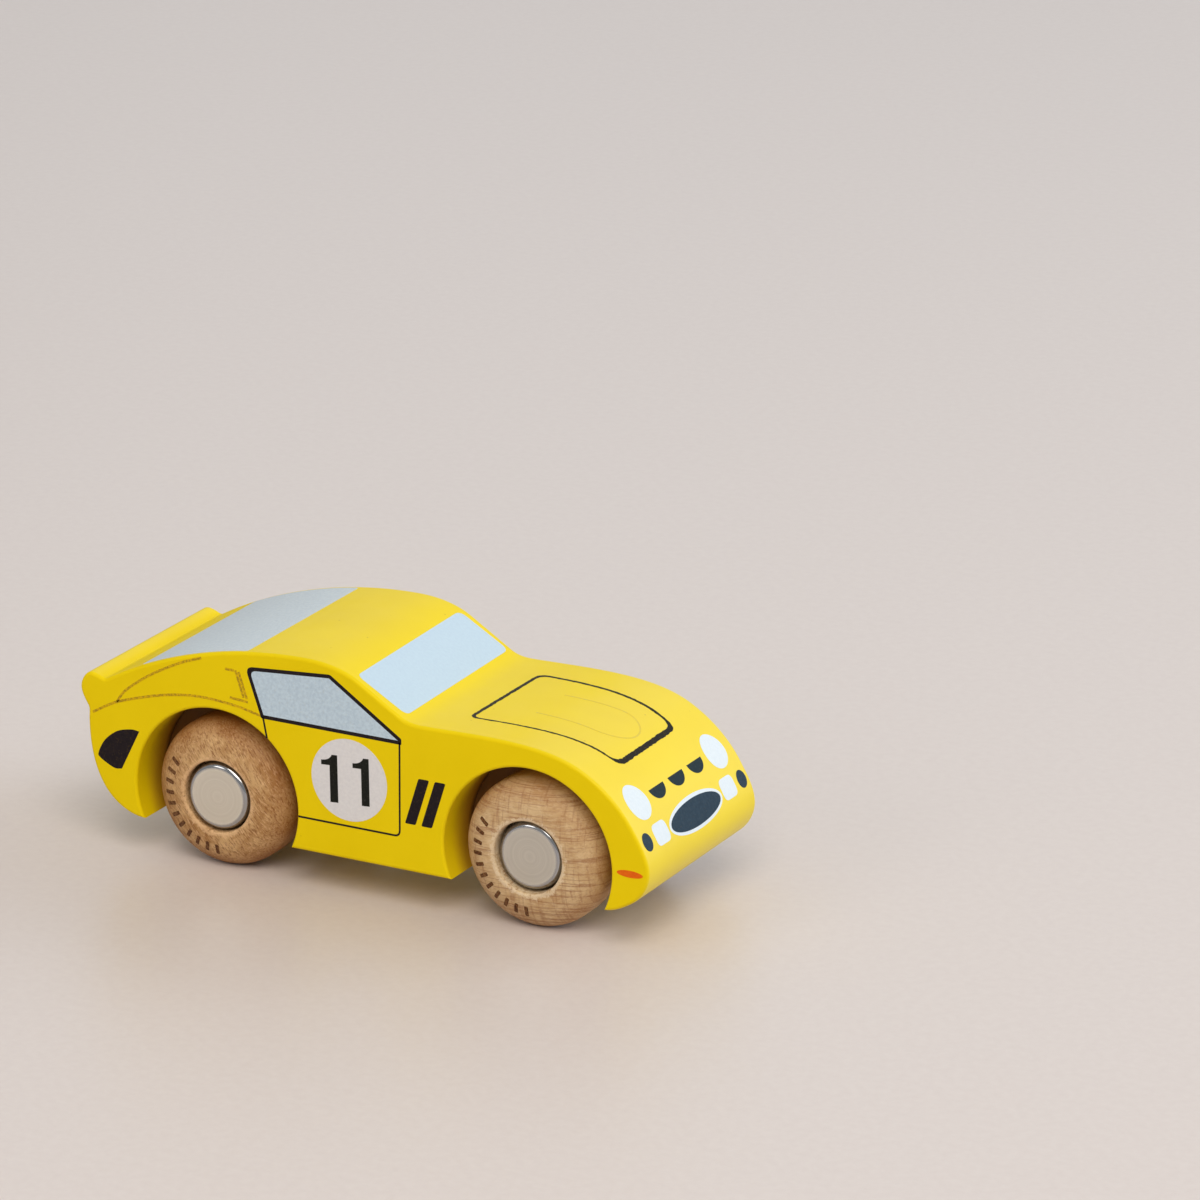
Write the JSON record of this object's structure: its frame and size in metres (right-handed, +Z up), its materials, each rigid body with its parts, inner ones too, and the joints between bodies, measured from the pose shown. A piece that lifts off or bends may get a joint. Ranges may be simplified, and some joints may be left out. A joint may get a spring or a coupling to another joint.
{
  "type": "wooden toy car",
  "caption": "Solid painted wooden toy racing car with domed beech wheels that roll on steel axles held by push-on hub caps.",
  "frame": {"origin": "on the ground under the middle of the car's length and width", "axes": "+X to the nose, +Y to the car's left, +Z up"},
  "size_m": [0.1244, 0.0448, 0.0468],
  "materials": {
    "body_paint": "satin yellow paint on beech, with printed windows, lights and race number",
    "wheel_beech": "bare turned beech, lightly oiled",
    "axle_steel": "drawn steel rod",
    "cap_steel": "bright zinc on drawn sheet, satin on the flat",
    "spring_steel": "tempered spring steel"
  },
  "bodies": {
    "body": {"body_block": "body_paint"},
    "axle_front": {"axle_front": "axle_steel", "hub_cap_front_left": "cap_steel", "hub_cap_front_right": "cap_steel", "spring_washer_front_left": "spring_steel", "spring_washer_front_right": "spring_steel"},
    "wheel_front_left": {"wheel_front_left": "wheel_beech"},
    "wheel_front_right": {"wheel_front_right": "wheel_beech"},
    "axle_rear": {"axle_rear": "axle_steel", "hub_cap_rear_left": "cap_steel", "hub_cap_rear_right": "cap_steel", "spring_washer_rear_left": "spring_steel", "spring_washer_rear_right": "spring_steel"},
    "wheel_rear_left": {"wheel_rear_left": "wheel_beech"},
    "wheel_rear_right": {"wheel_rear_right": "wheel_beech"}
  },
  "joints": [
    {"name": "axle_front_turn", "type": "hinge", "parent": "body", "child": "axle_front", "pos_m": [0.0363, 0, 0.015], "axis": [0, 1, 0], "continuous": true},
    {"name": "wheel_front_left_turn", "type": "hinge", "parent": "axle_front", "child": "wheel_front_left", "pos_m": [0.0363, 0, 0.015], "axis": [0, 1, 0], "continuous": true},
    {"name": "wheel_front_right_turn", "type": "hinge", "parent": "axle_front", "child": "wheel_front_right", "pos_m": [0.0363, 0, 0.015], "axis": [0, 1, 0], "continuous": true},
    {"name": "axle_rear_turn", "type": "hinge", "parent": "body", "child": "axle_rear", "pos_m": [-0.0317, 0, 0.015], "axis": [0, 1, 0], "continuous": true},
    {"name": "wheel_rear_left_turn", "type": "hinge", "parent": "axle_rear", "child": "wheel_rear_left", "pos_m": [-0.0317, 0, 0.015], "axis": [0, 1, 0], "continuous": true},
    {"name": "wheel_rear_right_turn", "type": "hinge", "parent": "axle_rear", "child": "wheel_rear_right", "pos_m": [-0.0317, 0, 0.015], "axis": [0, 1, 0], "continuous": true}
  ]
}
